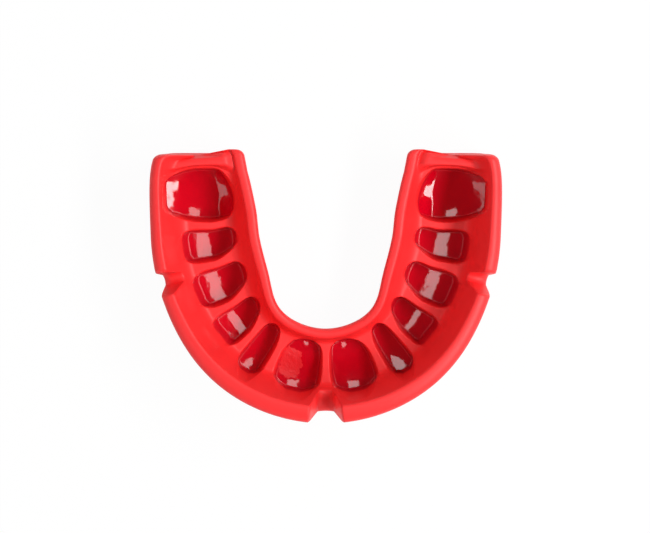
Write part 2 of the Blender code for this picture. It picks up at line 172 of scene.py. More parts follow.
class WellSizes(bpy.types.PropertyGroup):
    """The tooth wells and the webs that part them."""

    web_top: length("Web top", "Web tops above the biting face", 0.0070)
    floor: length("Well floor", "Lowest floor above the biting face", 0.0036)
    rear_top: length("Rear wall top", "Rear wall above the biting face", 0.0125)
    molar_rear_edge: length("Molar rear edge", "Rear edge of the molar well", 0.0102)
    waist: length("Web waist", "Narrowest width of a web", 0.0009)
    rear_margin: length("Rear margin", "Molar well's rear end to the rear wall", 0.0000)
    lingual_narrowing: shares(
        "Inner narrowing",
        "How much of its length each well loses at its inner end",
        (0.38, 0.30, 0.30, 0.30, 0.36, 0.20),
    )
    labial_narrowing: shares(
        "Outer narrowing",
        "How much of its length each well loses at its outer end",
        (0.09, 0.06, 0.08, 0.24, 0.06, 0.15),
    )
    lingual_shift: lengths(
        "Inner shift",
        "How far back the inner end of each well lies",
        (-0.0005, 0.0003, 0.0012, 0.0016, 0.0016, 0.0004),
    )
    inner_fillet: length("Inner fillet", "Fillet between the webs and the inner flange", 0.0020)
    outer_fillet: length("Outer fillet", "Fillet between the webs and the outer flange", 0.0036)
    inner_cut: length("Inner cut", "How far a well cuts into the inner flange", 0.0006)
    incisor_inner_cut: length("Incisor inner cut", "The same for an incisor well", 0.0002)
    inner_oval: length("Inner oval", "Rounding in plan of a well's inner end", 0.0026)
    outer_corner: length("Outer corner", "Rounding in plan of a well's outer corners", 0.0009)
    trough_outer_cut: length("Trough outer cut", "How far trough wells cut into the outer flange", 0.0009)
    trough_oval: length("Trough oval", "Rounding in plan of a trough well's outer end", 0.0040)
    end_wall: share("End wall", "Slope in degrees of the walls beside the webs", 80.0)
    inner_wall: share("Inner wall", "Slope in degrees of the tongue side", 76.0)
    incisor_wall: share("Incisor wall", "Slope in degrees of an incisor well's lip side", 88.0)
    trough_wall: share("Trough wall", "Slope in degrees of a trough well's cheek side", 72.0)
    molar_wall: share("Molar wall", "Slope in degrees of the molar well's cheek side", 88.5)
    edge_radius: length("Edge radius", "Rounding at the top of a well wall", 0.00026)
    foot_radius: length("Foot radius", "Rounding at the foot of a well wall", 0.00015)
    trough_radii: lengths(
        "Trough radii", "Curve across the channel of the canine and premolar floors", (0.0120, 0.0190, 0.0200)
    )
    molar_strip: length("Molar strip", "Half width of the level strip in the molar well", 0.0036)
    molar_strip_radius: length("Molar strip radius", "Curve of that strip across the channel", 0.0170)
    molar_shift: length("Molar shift", "How far that strip lies outside the channel's middle", 0.0013)
    molar_low: length("Molar low line", "Lowest line of the molar floor from its middle", -0.0041)
    molar_radius: length("Molar radius", "Curve of the molar floor along the arch", 0.0278)
    inner_facet: share("Inner facet", "Slope in degrees beside the strip, tongue side", 15.5)
    outer_facet: share("Outer facet", "Slope in degrees beside the strip, cheek side", 16.5)
    inner_facet_radius: length("Inner facet radius", "Curve of that slope, tongue side", 0.0260)
    outer_facet_radius: length("Outer facet radius", "Curve of that slope, cheek side", 0.0450)
    facet_middle: length("Facet middle", "Where the inner slope is least, from the middle", 0.0008)
    facet_half: length("Facet half length", "From there to where it has half steepened", 0.0030)
    facet_steepening: share("Facet steepening", "How much the inner slope gains at its ends", 2.2)
    incisor_ledges: shares(
        "Incisor ledges",
        "Where each incisor floor begins to fall, from -1 at the tongue side to 1",
        (-0.72, -2.0),
    )
    incisor_level: share("Incisor level", "Where that fall ends", 1.06)
    incisor_tilt: share("Incisor tilt", "Rise of the incisor floors over their run to the lip", 0.044)
    incisor_drops: lengths("Incisor slopes", "Fall of the incisor floors towards the lip", (0.0015, 0.0014))
    incisor_radii: lengths("Incisor radii", "Curve of the incisor floors along the arch", (0.0150, 0.0140))


class RubberLook(bpy.types.PropertyGroup):
    """Colour and finish of the rubber."""

    colour: paint("Rubber colour", "Colour of the moulded rubber", "#F12C2E")
    # Painted shade: a darker red that stands in for the shade inside the wells, not a colour of the rubber.
    painted_shade_colour: paint("Well colour", "Colour of the rubber in the wells", "#C2031C")
    matte: share("Matte roughness", "Roughness of the moulded outside", 0.47)
    gloss: share("Well roughness", "Roughness of the polished wells", 0.06)
    torn: share("Torn roughness", "Roughness of the torn patch in one well", 0.50)
    satin_shine: share("Satin shine", "Strength of the reflection outside the wells", 0.36)
    well_shine: share("Well shine", "Strength of the reflection in the wells", 0.5)
    refraction: share("Refraction", "Index of refraction of the rubber", 1.48)


class StageSettings(bpy.types.PropertyGroup):
    """Camera and lamps."""

    camera_distance: length("Camera distance", "Lens to the height of the rims", 0.500)
    camera_tilt: share("Camera tilt", "Degrees that the camera leans to the rear", 5.0)
    view_width: length("View width", "Width of the picture at the rims", 0.1193)
    aim_height: length("Aim height", "Height that the camera is aimed at", 0.0180)
    aim_across: length("Aim across", "Sideways place that the camera is aimed at", -0.00014)
    aim_back: length("Aim back", "Place behind the middle that the camera is aimed at", 0.00379)


GROUPS = {
    "mg_arch": ArchSizes,
    "mg_flange": FlangeSizes,
    "mg_wells": WellSizes,
    "mg_rubber": RubberLook,
    "mg_stage": StageSettings,
}

# Kinds of floor, from the midline back. The canine and premolar wells have troughs.
KINDS = ("incisor", "incisor", "trough", "trough", "trough", "molar")

# Steps in which the arch's length is measured.
ARCH_STEPS = 720

# Rows of the mesh along the arch: their spacing in a well, and the steps on a web and behind the molar.
ROW_SPACING = 0.00024
MIDLINE_STEPS = 8
WEB_STEPS = 10
REAR_STEPS = 8

# Columns of the mesh across the channel: inner slope, inner wall, floor, outer wall, then the outer face.
# The bands are how far from the two slopes the columns of the walls lie at most, and lie on the webs.
CHANNEL_COLUMNS = (8, 8, 36, 10)
FACE_COLUMNS = np.append(np.linspace(0.0, 0.96, 15)[1:], (0.975, 0.99, 1.0))
INNER_BAND = 0.0009
OUTER_BAND = 0.0013

# Steps of the mesh on the other faces, and the angle in degrees at which the ridge begins.
BASE_STEPS = 6
FOOT_STEPS = 5
INNER_WALL_STEPS = 8
INNER_RIM_STEPS = 14
RIDGE_STEPS = 3
RIDGE_START = 20.0
SHOULDER_STEPS = 13
OUTER_WALL_STEPS = 11
WELL_BEND_STEPS = 4

# Rings that close each rear face, as shares of its outline.
CAP_RINGS = (0.86, 0.66, 0.42, 0.18)

# Least share of the outer face that a notch leaves, and the largest share that a well takes up.
LEAST_FACE = 0.05
MOST_FACE = 0.92

# Fillets at the foot of the well walls, and the stretch in which the land falls to the inner rim.
WELL_FILLET = 0.0001
INCISOR_FILLET = 0.0002
RIM_BLEND = 0.0014

# A floor is polished where the skin lies this close to it, and the walls are polished less. Polish comes in
# over a stretch below the land, and over another that ends a little above the tops of the webs.
SAME_HEIGHT = 0.00003
# The polish also masks the painted shade of the wells, which is full from the wall polish up.
WALL_POLISH = 0.6
EDGE_STRETCH = 0.0006
LIP_STRETCH = 0.0008
ABOVE_LIP = 0.0002

# Steepest slope of a hollow in a floor, as rise over run.
STEEPEST = 0.16

# Shares of the arch at which it squares off most and is pulled in most.
SQUARED_AT = 0.26
PULLED_IN_AT = 0.74

# Powers with which the two sides of the legs draw in, and with which a well narrows towards its ends.
INNER_TAPER_POWER = 1.6
OUTER_TAPER_POWER = 6
NARROWING_POWER = 2.4

# Powers of the curves that round the wells in plan: the lower, the rounder.
OVAL_POWER = 2.5
MOLAR_POWER = 3.0
CORNER_POWER = 4.0

# Share across the channel, from its middle, at which a well stops narrowing.
NARROWING_END = 1.2

# How fast the land climbs to the top of the rear wall.
REAR_CLIMB = 1.6

# Widths of the patterns in the rubber, in millimetres. The grain of a blasted mould is finer than this, but
# would be too fine to show.
GRAIN = 0.238
MOTTLE = 6.25
SINK_WAVES = 1.613
FLAKES = 0.667
RAGGED_EDGE = 1.43

# Depths of those patterns, in metres, and how much the mottle changes the roughness.
GRAIN_DEPTH = 0.00002
SINK_DEPTH = 0.00003
FLAKE_DEPTH = 0.00014
MOTTLE_CHANGE = 0.05

# The torn patch: its middle, half its size in millimetres, the values of distance plus noise at which its
# ragged edge ends and begins, and how much of the painted shade of the wells it loses.
TORN_MIDDLE = (-0.0066, -0.0156, 0.004)
TORN_HALF_WIDTH = 2.38
TORN_HALF_LENGTH = 3.57
TORN_OUTSIDE = 1.42
TORN_INSIDE = 1.34
TORN_FADING = 0.45

# Polish at which the gloss begins.
POLISH_START = 0.65

# The table: half its length, the gap below the tray, its colour and how far it glows white to the camera.
TABLE_REACH = 3.0
TABLE_GAP = 0.00005
TABLE_COLOUR = "#EDEDED"
TABLE_GLOW = 0.96

# Softboxes: azimuth and elevation in degrees, distance, width and height, and radiance.
SOFTBOXES = {
    "overhead_softbox": (90.0, 86.5, 0.78, (0.20, 0.18), 5.5),
    "right_softbox": (93.0, 51.0, 0.70, (0.80, 0.15), 16.0),
    "left_softbox": (-93.0, 51.0, 0.70, (0.80, 0.15), 2.4),
}
LIT_PLACE = (0.0, 0.0, 0.008)

# Light that the room itself gives: its colour, its strength from the walls and from the ceiling, and the
# heights between which that changes, as shares of straight up.
ROOM_COLOUR = "#FFFFFF"
WALL_LIGHT = 0.7
CEILING_LIGHT = 0.05
WALLS_END = 0.25
CEILING_START = 0.8

# The camera's sensor in millimetres, and the nearest and farthest that it sees in metres.
SENSOR_WIDTH = 36.0
CLIPPING = (0.01, 20.0)


def mix(start, end, part):
    """The value a part of the way from start to end."""
    return start + (end - start) * part


def ease(part):
    """Goes smoothly from 0 to 1 while part does."""
    part = np.clip(part, 0.0, 1.0)
    return part * part * (3.0 - 2.0 * part)


def tangent(slope):
    """Rise over run of a slope in degrees."""
    return math.tan(math.radians(slope))


def even_shares(steps):
    """Shares from 0 to 1 in even steps."""
    return np.linspace(0.0, 1.0, steps + 1)


def quarter_turn(steps):
    """Angles that divide a quarter turn into even steps."""
    return even_shares(steps) * math.pi / 2


def rounded(along, power):
    """1 in the middle of a well and 0 at its two ends, with a rounded corner between."""
    return np.sqrt(np.maximum(1.0 - np.abs(along) ** power, 0.0))


def linear_colour(hex_colour):
    """Turns an sRGB hex colour to linear red, green, blue and alpha."""
    values = [int(hex_colour[i : i + 2], 16) / 255 for i in (1, 3, 5)]
    linear = [v / 12.92 if v <= 0.04045 else ((v + 0.055) / 1.055) ** 2.4 for v in values]
    return (*linear, 1.0)


class ToothLine:
    """The middle line of the channel, measured from the midline of the mouth."""

    def __init__(self, arch):
        angles = quarter_turn(ARCH_STEPS)
        across = (arch.lingual_half_width + arch.labial_half_width) / 2
        along = (arch.lingual_front_reach + arch.labial_front_reach) / 2
        speed = np.hypot(across * np.cos(angles), along * np.sin(angles))
        steps = (speed[1:] + speed[:-1]) / 2 * np.diff(angles)
        self.angles = angles
        self.lengths = np.concatenate(([0.0], np.cumsum(steps)))
        self.curved = float(self.lengths[-1])
        self.end = sum(arch.pitches) + arch.rear_wall

    def angle(self, station):
        """Angle of the arch at a station, up to a quarter turn."""
        return np.interp(station, self.lengths, self.angles)

    def leg(self, station):
        """Length of straight leg in front of a station."""
        return np.maximum(station - self.curved, 0.0)

    def squaring(self, station):
        """A wave that squares the arch off beside the incisors and pulls in its sides."""
        first = self.curved * SQUARED_AT
        last = self.curved * PULLED_IN_AT
        rising = np.sin(np.minimum(station / first, 1.0) * math.pi / 2)
        falling = np.cos(np.clip((station - first) / (last - first), 0.0, 1.0) * math.pi)
        back = ease((station - last) / (last - first)) - 1.0
        return np.where(station < first, rising, np.where(station < last, falling, back))


def plan(arch, line, across, station):
    """Plan of half the arch: across is 0 on the inner rim line and 1 on the outer one."""
    angle = line.angle(station)
    half_width = mix(arch.lingual_half_width, arch.labial_half_width, across)
    reach = mix(arch.lingual_front_reach, arch.labial_front_reach, across)
    squared = mix(arch.lingual_squaring, arch.labial_squaring, across) * line.squaring(station)
    taper = np.maximum(0.0, (station - line.end + arch.end_taper_length) / arch.end_taper_length)
    half_width = half_width + squared + arch.lingual_end_taper * (1.0 - across) * taper**INNER_TAPER_POWER
    half_width = half_width - arch.labial_end_taper * across * taper**OUTER_TAPER_POWER
    return half_width * np.sin(angle), line.leg(station) - reach * np.cos(angle)


def wall_profile(depth, top_radius, foot_radius, slope):
    """Distances from a well's edge and the share of its depth reached there."""
    turn = math.radians(slope) * even_shares(WELL_BEND_STEPS)
    level = 1.0 - math.cos(turn[-1])
    run = (depth - (top_radius + foot_radius) * level) / tangent(slope)
    total = (top_radius + foot_radius) * math.sin(turn[-1]) + run
    top = [(top_radius * math.sin(a), top_radius * (1.0 - math.cos(a))) for a in turn]
    foot = [(foot_radius * math.sin(a), foot_radius * (1.0 - math.cos(a))) for a in turn[::-1]]
    profile = top + [(total - distance, depth - rise) for distance, rise in foot]
    return [(distance, drop / depth) for distance, drop in profile]


class Rows:
    """The cross sections of half the arch, as arrays with one value for each row.

    Each row lies between two edge lines across the channel, such as the two ends of a well. An edge line
    has a middle, a signed half length and the number of the well whose narrowing bends it.
    """

    FIELDS = ("lo", "hi", "part", "depth", "along", "index", "gloss", "rise", "shrink", "back")

    def __init__(self, arch, wells, line):
        self.made = {name: [] for name in self.FIELDS}
        self.wells = wells
        starts = np.concatenate(([0.0], np.cumsum(arch.pitches)))
        ends = starts[1:] - wells.waist / 2
        ends[-1] = starts[-1] - wells.rear_margin
        begins = starts[:-1] + wells.waist / 2
        self.middles = (begins + ends) / 2
        self.halves = (ends - begins) / 2
        self.web((0.0, 0.0, 0), (self.middles[0], -self.halves[0], 0), 0, MIDLINE_STEPS)
        for index in range(len(KINDS)):
            self.well(index)
            if index + 1 < len(KINDS):
                following = (self.middles[index + 1], -self.halves[index + 1], index + 1)
                self.web((self.middles[index], self.halves[index], index), following, 1, WEB_STEPS)
        self.rear(arch, line)
        self.low = np.array(self.made["lo"])
        self.high = np.array(self.made["hi"])
        for name in self.FIELDS[2:]:
            setattr(self, name, np.array(self.made[name])[:, None])

    def add(self, lo, hi, part, **others):
        """Adds a row; fields that aren't given are 0, and the number of the well is -1."""
        values = {"lo": lo, "hi": hi, "part": part, **others}
        for name in self.FIELDS:
            self.made[name].append(values.get(name, -1 if name == "index" else 0.0))

    def web(self, lo, hi, first, steps):
        """Evenly spaced rows between two edge lines."""
        for step in range(first, steps):
            self.add(lo, hi, step / steps)

    def well(self, index):
        """Rows close together on the two end walls of a well and even between them."""
        wells = self.wells
        half = self.halves[index]
        deep = wells.web_top - wells.floor
        profile = wall_profile(deep, wells.edge_radius, wells.foot_radius, wells.end_wall)
        near = [(distance / half - 1.0, depth) for distance, depth in profile]
        last = near[-1][0]
        count = max(int(-last * half * 2 / ROW_SPACING), 4)
        inner = [(float(v), 1.0) for v in np.linspace(last, -last, count + 2)[1:-1]]
        far = [(-v, depth) for v, depth in reversed(near)]
        lo = (self.middles[index], -half, index)
        hi = (self.middles[index], half, index)
        for group, gloss in ((near, 0.0), (inner, 1.0), (far, 0.0)):
            for along, depth in group:
                part = (along + 1.0) / 2
                rise = ease(part) if KINDS[index] == "molar" else 0.0
                self.add(lo, hi, part, depth=depth, along=along, index=index, gloss=gloss, rise=rise)

    def rear(self, arch, line):
        """The rear wall, its ridge and the rounded edge of the rear face."""
        last = len(KINDS) - 1
        start = line.end - arch.end_radius
        for part in even_shares(REAR_STEPS)[1:]:
            lo = (self.middles[last], self.halves[last], last)
            self.add(lo, (start, 0.0, last), part, rise=1.0 + ease(part * REAR_CLIMB), back=part)
        for turn in quarter_turn(REAR_STEPS)[1:]:
            station = (start + arch.end_radius * math.sin(turn), 0.0, last)
            self.add(station, station, 0.0, rise=2.0, shrink=1.0 - math.cos(turn), back=1.0)

    def edge(self, line, channel_share):
        """Stations of an edge line, which a well's narrowing bends towards its ends."""
        well = line[:, 2].astype(int)
        inside = np.array(self.wells.lingual_narrowing)[well][:, None]
        outside = np.array(self.wells.labial_narrowing)[well][:, None]
        reach = np.minimum(np.abs(channel_share), NARROWING_END)
        narrowed = 1.0 - np.where(channel_share < 0, inside, outside) * reach**NARROWING_POWER
        shift = np.array(self.wells.lingual_shift)[well][:, None] * (line[:, 1:2] != 0.0)
        shift = shift * ease(-channel_share / NARROWING_END)
        return line[:, 0:1] + line[:, 1:2] * narrowed + shift

    def station(self, channel_share):
        """Stations of all rows at each share across the channel."""
        return mix(self.edge(self.low, channel_share), self.edge(self.high, channel_share), self.part)


def notched(arch, sizes, line, rim, top, floor):
    """Height of the outer rim, cut down to the given floor at the three notches."""
    cut = top + np.zeros_like(rim[0])
    places = (
        (0.0, sizes.front_notch, sizes.front_notch_floor),
        (sizes.side_notch_station, sizes.side_notch, sizes.side_notch_floor),
    )
    for place, wide, narrow in places:
        middle = plan(arch, line, 1.0, np.array([place]))
        away = np.hypot(rim[0] - middle[0], rim[1] - middle[1])
        hollow = sizes.notch_hollow * (2 * away / narrow) ** 2
        flank = sizes.notch_hollow + (away - narrow / 2) * (top - floor) / ((wide - narrow) / 2)
        cut = np.minimum(cut, floor + np.where(away < narrow / 2, hollow, flank))
    return cut


def smooth_max(first, second, blend):
    """The larger height, with the corner between the two filled by a fillet."""
    near = np.maximum(blend - np.abs(first - second), 0.0) / blend
    return np.maximum(first, second) + near**2 * blend / 4


def height_at(place, offset, height):
    """Height that each row has at the offset given for it."""
    found = [np.interp(at, places, heights) for at, places, heights in zip(place.ravel(), offset, height)]
    return np.array(found)[:, np.newaxis]


def dish(away, radius):
    """Height of a round hollow that runs on straight where it has become steepest."""
    bent = np.minimum(np.abs(away), STEEPEST * radius)
    return bent * (np.abs(away) - bent / 2) / radius


def incisor_floor(wells, across, along, half_across, ledge, drop, radius):
    """A floor that falls from a ledge at its inner end to a level part at its outer end."""
    part = np.clip((across - ledge) / (wells.incisor_level - ledge), 0.0, 1.0)
    fallen = np.where(part < 0.5, 2.0 * part**2, 1.0 - 2.0 * (1.0 - part) ** 2)
    tilt = wells.incisor_tilt * (across - wells.incisor_level) * half_across
    return wells.floor + drop * (1.0 - fallen) + tilt + dish(along, radius)


def trough_floor(wells, across, half_across, radius):
    """A floor that is straight along the arch and hollow across it."""
    return wells.floor + dish(across * half_across, radius)


def molar_floor(wells, offset, along):
    """A dish with a nearly level strip in its middle and steeper facets beside it."""
    outside = offset > 0
    first = np.where(outside, wells.outer_facet, wells.inner_facet)
    radius = np.where(outside, wells.outer_facet_radius, wells.inner_facet_radius)
    beside = np.maximum(np.abs(offset) - wells.molar_strip, 0.0)
    level = np.minimum(np.abs(offset), wells.molar_strip) ** 2 / (2 * wells.molar_strip_radius)
    facet = np.tan(np.radians(first)) * beside + beside**2 / (2 * radius)
    away = ((along - wells.facet_middle) / wells.facet_half) ** 4
    facet = facet * (1.0 + np.where(outside, 0.0, wells.facet_steepening) * away / (1.0 + away))
    return wells.floor + level + facet + (along - wells.molar_low) ** 2 / (2 * wells.molar_radius)


def hollow_floor(rows, wells, across, half_across):
    """Height of the floor under each row and column."""
    floor = np.full(across.shape, wells.web_top)
    for place, kind in enumerate(KINDS):
        half_along = rows.halves[place]
        if kind == "incisor":
            shape = (wells.incisor_ledges[place], wells.incisor_drops[place], wells.incisor_radii[place])
            made = incisor_floor(wells, across, rows.along * half_along, half_across, *shape)
        elif kind == "trough":
            made = trough_floor(wells, across, half_across, wells.trough_radii[place - KINDS.index("trough")])
        else:
            made = molar_floor(wells, across * half_across - wells.molar_shift, rows.along * half_along)
        floor = np.where(rows.index == place, made, floor)
    return floor


class TraySection:
    """Cross sections of half the tray, one for each row, as columns that run once round the skin.

    Each column has an offset from the inner rim line, a station along the tooth line, a height and a polish.
    """

    def __init__(self, arch, flange, wells, line, rows):
        self.flange = flange
        self.wells = wells
        self.rows = rows
        self.strips = []
        self.station = rows.station(np.array([1.0]))
        inner = plan(arch, line, 0.0, self.station)
        outer = plan(arch, line, 1.0, self.station)
        self.wide = np.hypot(outer[0] - inner[0], outer[1] - inner[1])
        back = ease(self.station / line.end)
        self.inner_rim = mix(flange.lingual_rim_front, flange.lingual_rim_back, back)
        self.inner_high = mix(flange.lingual_top_front, flange.lingual_top_back, back) - flange.lingual_round
        starts = np.concatenate(([0.0], np.cumsum(arch.pitches)))
        self.inner_foot = np.interp(self.station, (starts[:-1] + starts[1:]) / 2, flange.inner_feet)
        self.inner_line = self.inner_rim + self.inner_foot
        self.foot = mix(flange.foot_front, flange.foot_back, back)
        self.outer_line = self.wide - mix(flange.labial_rim_front, flange.labial_rim_back, back) - self.foot
        full_top = mix(flange.labial_top_front, flange.labial_top_back, back)
        self.face_high = full_top - flange.ridge_radius
        self.face_top = notched(arch, flange, line, outer, full_top, flange.notch_floor) - flange.ridge_radius
        self.full_wall = full_top - flange.shoulder
        lip_floor = flange.notch_floor - flange.notch_fall
        self.wall_top = notched(arch, flange, line, outer, self.full_wall, lip_floor)
        self.is_incisor = (rows.index >= 0) & (rows.index < KINDS.index("trough"))
        self.is_molar = rows.index == KINDS.index("molar")
        self.is_trough = (rows.index >= KINDS.index("trough")) & ~self.is_molar

    def put(self, offset, height, station=None, polish=0.0):
        """Adds a strip of columns."""
        shape = np.broadcast(offset, height).shape
        fields = (offset, self.station if station is None else station, height, polish)
        self.strips.append([np.broadcast_to(field, shape).astype(float) for field in fields])

    def columns(self):
        """Offsets, stations, heights and polish of all columns, from the biting face round the skin."""
        self.biting_face()
        self.inner_flange()
        crest, crest_height = self.channel()
        self.outer_rim(crest, crest_height)
        self.outer_wall()
        return [np.concatenate(strips, axis=1) for strips in zip(*self.strips)]

    def biting_face(self):
        """The flat face, from its outer edge to its inner one."""
        flange = self.flange
        begin = self.wide - flange.labial_draft - flange.base_radius
        finish = flange.lingual_draft + flange.base_radius
        self.put(mix(begin, finish, even_shares(BASE_STEPS)[1:-1]), 0.0)

    def inner_flange(self):
        """The inner wall from its rounded foot up, and the rim, a flattened arch in section."""
        flange = self.flange
        base = flange.base_radius
        level = np.zeros_like(self.wide)
        turn = quarter_turn(FOOT_STEPS)
        self.put(level + flange.lingual_draft + base * (1.0 - np.sin(turn)), base * (1.0 - np.cos(turn)))
        climb = even_shares(INNER_WALL_STEPS)[1:-1]
        tuck = flange.lingual_draft * (1.0 - climb) ** flange.inner_tuck_power
        self.put(level + tuck, mix(base, self.inner_high, climb))
        turn = math.pi * even_shares(INNER_RIM_STEPS)[::-1]
        sideways = np.sign(np.cos(turn)) * np.abs(np.cos(turn)) ** flange.inner_rim_power
        upwards = np.abs(np.sin(turn)) ** flange.inner_rim_power
        self.put(self.inner_rim / 2 * (1.0 + sideways), self.inner_high + flange.lingual_round * upwards)

    def face(self, climb):
        """Height of the outer flange's inner face, which steepens towards its rim."""
        bend = self.flange.face_bend
        risen = (1.0 - bend) * climb + bend * np.maximum(climb, 0.0) ** 2
        return self.wells.web_top + (self.face_high - self.wells.web_top) * risen

    def face_end(self):
        """Share of that face's run at which it meets the rim, or a notch."""
        bend = self.flange.face_bend
        straight = 1.0 - bend
        lip = self.wells.web_top
        reached = np.clip((self.face_top - lip) / (self.face_high - lip), LEAST_FACE, 1.0)
        return (np.sqrt(straight**2 + 4 * bend * reached) - straight) / (2 * bend)

    def well_ends(self, face_end):
        """Offsets at which each well's inner and outer walls begin, round in plan."""
        wells = self.wells
        along = self.rows.along
        oval = rounded(along, OVAL_POWER)
        inner_cut = np.where(self.is_incisor, wells.incisor_inner_cut, wells.inner_cut)
        near = self.inner_line + wells.inner_oval * (1.0 - oval) - inner_cut
        far = self.outer_line - wells.outer_corner * (1.0 - rounded(along, CORNER_POWER))
        far = np.where(self.is_molar, far + self.foot * rounded(along, MOLAR_POWER), far)
        far = np.where(self.is_incisor, far + self.foot * (1.0 - along**2), far)
        trough_far = self.outer_line + wells.trough_outer_cut - wells.trough_oval * (1.0 - oval)
        far = np.where(self.is_trough, trough_far, far)
        return near, np.minimum(far, self.outer_line + MOST_FACE * self.foot * face_end)

    def outer_steepness(self):
        """Tangent of the slope of each well's outer wall."""
        wells = self.wells
        steepness = np.where(self.is_molar, tangent(wells.molar_wall), tangent(wells.trough_wall))
        return np.where(self.is_incisor, tangent(wells.incisor_wall), steepness)

    def channel_offsets(self, near, far, face_end):
        """Columns that follow the well walls, and even ones on the webs."""
        on_web = self.rows.index < 0
        inner_side = self.inner_line + INNER_BAND
        outer_side = self.outer_line - OUTER_BAND
        near = np.where(on_web, inner_side, np.minimum(near, inner_side))
        depth = self.face(np.maximum(far - self.outer_line, 0.0) / self.foot) - self.wells.floor
        far = np.where(on_web, outer_side, np.maximum(far, outer_side))
        stops = (self.inner_rim, near, near + INNER_BAND, far - depth / self.outer_steepness(), far)
        spans = [mix(a, b, even_shares(steps)[1:]) for a, b, steps in zip(stops, stops[1:], CHANNEL_COLUMNS)]
        face = mix(far, self.outer_line + self.foot * face_end, FACE_COLUMNS)
        return np.concatenate([*spans, face], axis=1)

    def unsunk(self, offset):
        """Height of the channel as it would be without wells."""
        wells = self.wells
        land = mix(wells.web_top, wells.molar_rear_edge, np.clip(self.rows.rise, 0.0, 1.0))
        land = mix(land, wells.rear_top, np.clip(self.rows.rise - 1.0, 0.0, 1.0))
        above_rim = np.maximum(land - self.inner_high, 0.0)
        land = land - above_rim * (1.0 - ease((offset - self.inner_rim) / RIM_BLEND))
        climb = (self.inner_line - offset) / self.inner_foot
        inner_slope = wells.web_top + climb * (self.inner_high - wells.web_top)
        outer_slope = self.face((offset - self.outer_line) / self.foot)
        return smooth_max(smooth_max(land, inner_slope, wells.inner_fillet), outer_slope, wells.outer_fillet)

    def sunk(self, offset, whole, near, far, floor):
        """Height of the channel with its wells, which have steep walls."""
        inner_wall = height_at(near, offset, whole) + (near - offset) * tangent(self.wells.inner_wall)
        inner_wall = np.where(offset < near, whole, inner_wall)
        outer_wall = height_at(far, offset, whole) + (offset - far) * self.outer_steepness()
        outer_wall = np.where(offset > far, whole, outer_wall)
        bottom = smooth_max(floor, inner_wall, WELL_FILLET)
        bottom = smooth_max(bottom, outer_wall, np.where(self.is_incisor, INCISOR_FILLET, WELL_FILLET))
        return whole - np.maximum(whole - bottom, 0.0) * self.rows.depth

    def polished(self, whole, height, floor):
        """From 0 outside the wells to 1 on their floors, whose polish starts inside their foot."""
        below_edge = np.clip((whole - height) / EDGE_STRETCH, 0.0, 1.0)
        below_lip = np.clip((self.wells.web_top + ABOVE_LIP - height) / LIP_STRETCH, 0.0, 1.0)
        on_floor = np.pad(height - floor < SAME_HEIGHT, ((0, 0), (1, 1)))
        on_floor = on_floor[:, :-2] & on_floor[:, 1:-1] & on_floor[:, 2:]
        return below_edge * below_lip * mix(WALL_POLISH, 1.0, self.rows.gloss * on_floor)

    def channel(self):
        """The inner slope, the wells and the outer slope up to its crest, which is returned."""
        face_end = self.face_end()
        near, far = self.well_ends(face_end)
        offset = self.channel_offsets(near, far, face_end)
        half_across = (self.outer_line - self.inner_line) / 2
        across = (offset - (self.outer_line + self.inner_line) / 2) / half_across
        whole = self.unsunk(offset)
        floor = hollow_floor(self.rows, self.wells, across, half_across)
        height = self.sunk(offset, whole, near, far, floor)
        self.put(offset, height, self.rows.station(across), self.polished(whole, height, floor))
        return offset[:, -1:], height[:, -1:]

    def tuck(self, height):
        """How far the outer wall has drawn in at a height."""
        flange = self.flange
        fallen = (self.full_wall - height) / (self.full_wall - flange.base_radius)
        return flange.labial_draft * fallen**flange.outer_tuck_power

    def outer_rim(self, crest, crest_height):
        """A tight ridge, then a shoulder that falls towards the lip."""
        ridge = self.flange.ridge_radius
        turn = np.radians(mix(RIDGE_START, 90.0, even_shares(RIDGE_STEPS)))
        self.put(crest + ridge * (1.0 - np.cos(turn)), crest_height + ridge * np.sin(turn))
        turn = quarter_turn(SHOULDER_STEPS)[1:]
        reach = self.wide - self.tuck(self.wall_top) - crest - ridge
        fallen = mix(crest_height + ridge, self.wall_top, 1.0 - np.cos(turn))
        self.put(crest + ridge + reach * np.sin(turn), fallen)

    def outer_wall(self):
        """The outer wall and its rounded foot."""
        flange = self.flange
        base = flange.base_radius
        level = np.zeros_like(self.wide)
        wall = mix(self.wall_top, base, even_shares(OUTER_WALL_STEPS)[1:])
        self.put(self.wide - self.tuck(wall), wall)
        turn = quarter_turn(FOOT_STEPS)[1:]
        foot = self.wide - flange.labial_draft - base * (1.0 - np.cos(turn))
        self.put(foot, level + base * (1.0 - np.sin(turn)))


def tray_points(arch, flange, wells, line, rows):
    """Points of half the tray, row by row, with the polish of each."""
    section = TraySection(arch, flange, wells, line, rows)
    offset, station, height, polish = section.columns()
    across = offset / section.wide
    tall = height.max(axis=1, keepdims=True)
    draw_in = arch.end_radius * rows.shrink
    lean = np.interp(across, arch.end_lean_places, arch.end_leans) * rows.back * height / wells.rear_top
    across = 0.5 + (across - 0.5) * (1.0 - 2.0 * draw_in / section.wide)
    height = tall / 2 + (height - tall / 2) * (1.0 - 2.0 * draw_in / tall)
    x, y = plan(arch, line, across, station)
    points = np.stack([x, y + lean, height], axis=-1)
    middle = points[-1].mean(axis=0)
    caps = np.array([middle + (points[-1] - middle) * part for part in CAP_RINGS])
    polish = np.concatenate([polish, np.zeros((len(caps), polish.shape[1]))])
    return np.concatenate([points, caps]), polish


def whole_tray(half, polish):
    """Joins the half and its mirror image at the midline."""
    mirrored = half[:0:-1] * np.array([-1.0, 1.0, 1.0])
    return np.concatenate([mirrored, half]), np.concatenate([polish[:0:-1], polish])


